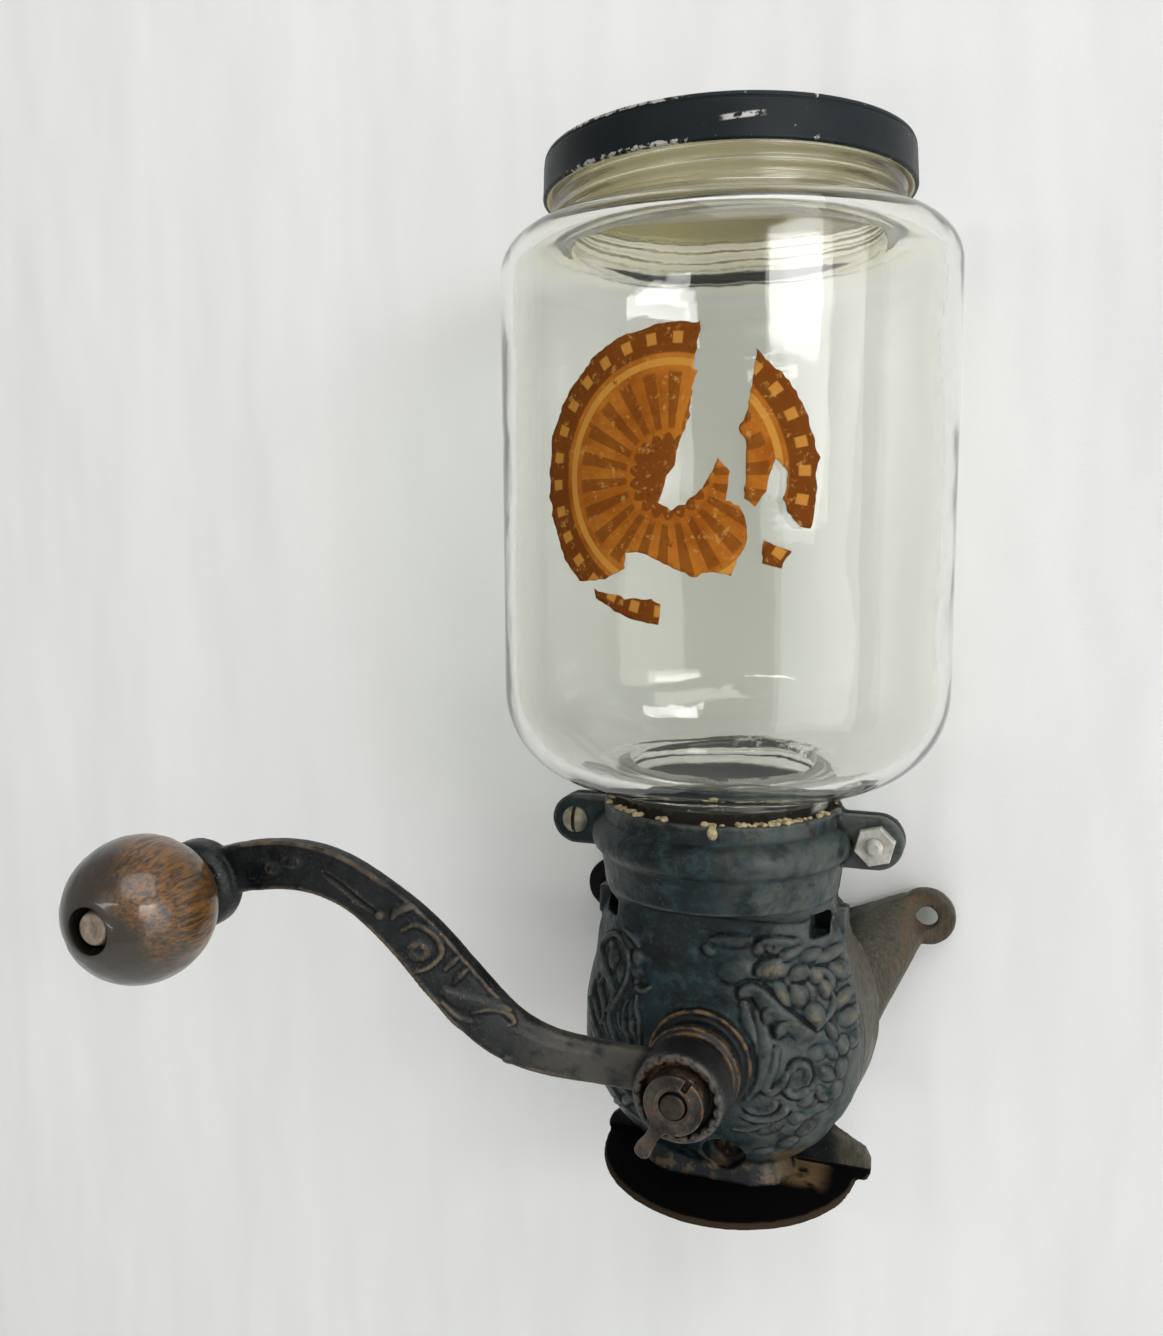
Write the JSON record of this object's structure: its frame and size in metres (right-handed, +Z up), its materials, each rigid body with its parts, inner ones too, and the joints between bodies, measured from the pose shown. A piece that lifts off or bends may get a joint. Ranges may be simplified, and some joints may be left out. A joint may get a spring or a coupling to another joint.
{
  "type": "wall mount coffee grinder",
  "caption": "Hand cranked wall mount coffee mill: a glass hopper jar with a tin lid, clamped in a cast iron mill body with a relief dome, S-shaped crank, wooden knob and a thumb nut.",
  "frame": {"origin": "midway between the two wall screw holes, on the wall's face", "axes": "+X to the right seen from the room, +Y into the wall, +Z up"},
  "size_m": [0.2044, 0.1714, 0.2807],
  "materials": {
    "casting": "old black japan over cast iron, worn brown at the edges",
    "jar_glass": "clear, faintly grey green, stained at the neck",
    "cement": "crumbling, matt",
    "lid_tin": "satin paint, chipped at the rim",
    "card": "matt",
    "label_paper": "torn, brown with age",
    "fastener": "dull zinc",
    "dark_screw": "blackened, rusty",
    "knob_wood": "dark varnish, worn",
    "rivet_metal": "dull, dark",
    "worn_iron": "bare, darkened with oil",
    "shaft_steel": "oily"
  },
  "bodies": {
    "housing": {"front_housing": "casting", "back_housing": "casting", "hopper_jar": "jar_glass", "jar_cement": "cement", "paper_label": "label_paper", "left_clamp_screw": "fastener", "left_clamp_nut": "fastener", "right_clamp_bolt": "fastener", "right_clamp_nut": "fastener", "housing_screw": "dark_screw", "fixed_burr": "worn_iron", "burr_screws": "dark_screw"},
    "crank": {"crank_arm": "casting", "thrust_washer": "fastener", "knob_rivet": "rivet_metal"},
    "knob": {"knob": "knob_wood"},
    "nut": {"adjusting_nut": "worn_iron"},
    "spindle": {"drive_shaft": "shaft_steel", "rotating_burr": "worn_iron", "burr_pin": "shaft_steel", "feed_worm": "worn_iron", "spring_washer": "fastener", "thrust_spring": "shaft_steel"},
    "liner": {"lid_liner": "card"},
    "lid": {"jar_lid": "lid_tin"}
  },
  "joints": [
    {"name": "crank_turn", "type": "hinge", "parent": "housing", "child": "crank", "pos_m": [0, 0, -0.019], "axis": [0, 1, 0], "continuous": true},
    {"name": "knob_spin", "type": "hinge", "parent": "crank", "child": "knob", "pos_m": [-0.1245, 0, 0.03], "axis": [0, 1, 0], "continuous": true},
    {"name": "nut_turn", "type": "hinge", "parent": "crank", "child": "nut", "pos_m": [0, 0, -0.019], "axis": [0, 1, 0], "range_deg": [-180, 180]},
    {"name": "burr_gap", "type": "slide", "parent": "crank", "child": "spindle", "axis": [0, -1, 0], "range_m": [-0.00064, 0.00064]},
    {"name": "lid_lift", "type": "slide", "parent": "housing", "child": "liner", "axis": [0, 0, 1], "range_m": [0, 0.07]},
    {"name": "lid_turn", "type": "hinge", "parent": "liner", "child": "lid", "pos_m": [0, -0.063, 0.216], "axis": [0, 0, 1], "range_deg": [0, 540]}
  ],
  "couplings": [
    {"joint": "nut_turn", "follows": "burr_gap", "rad_per_m": 4947.3}
  ]
}
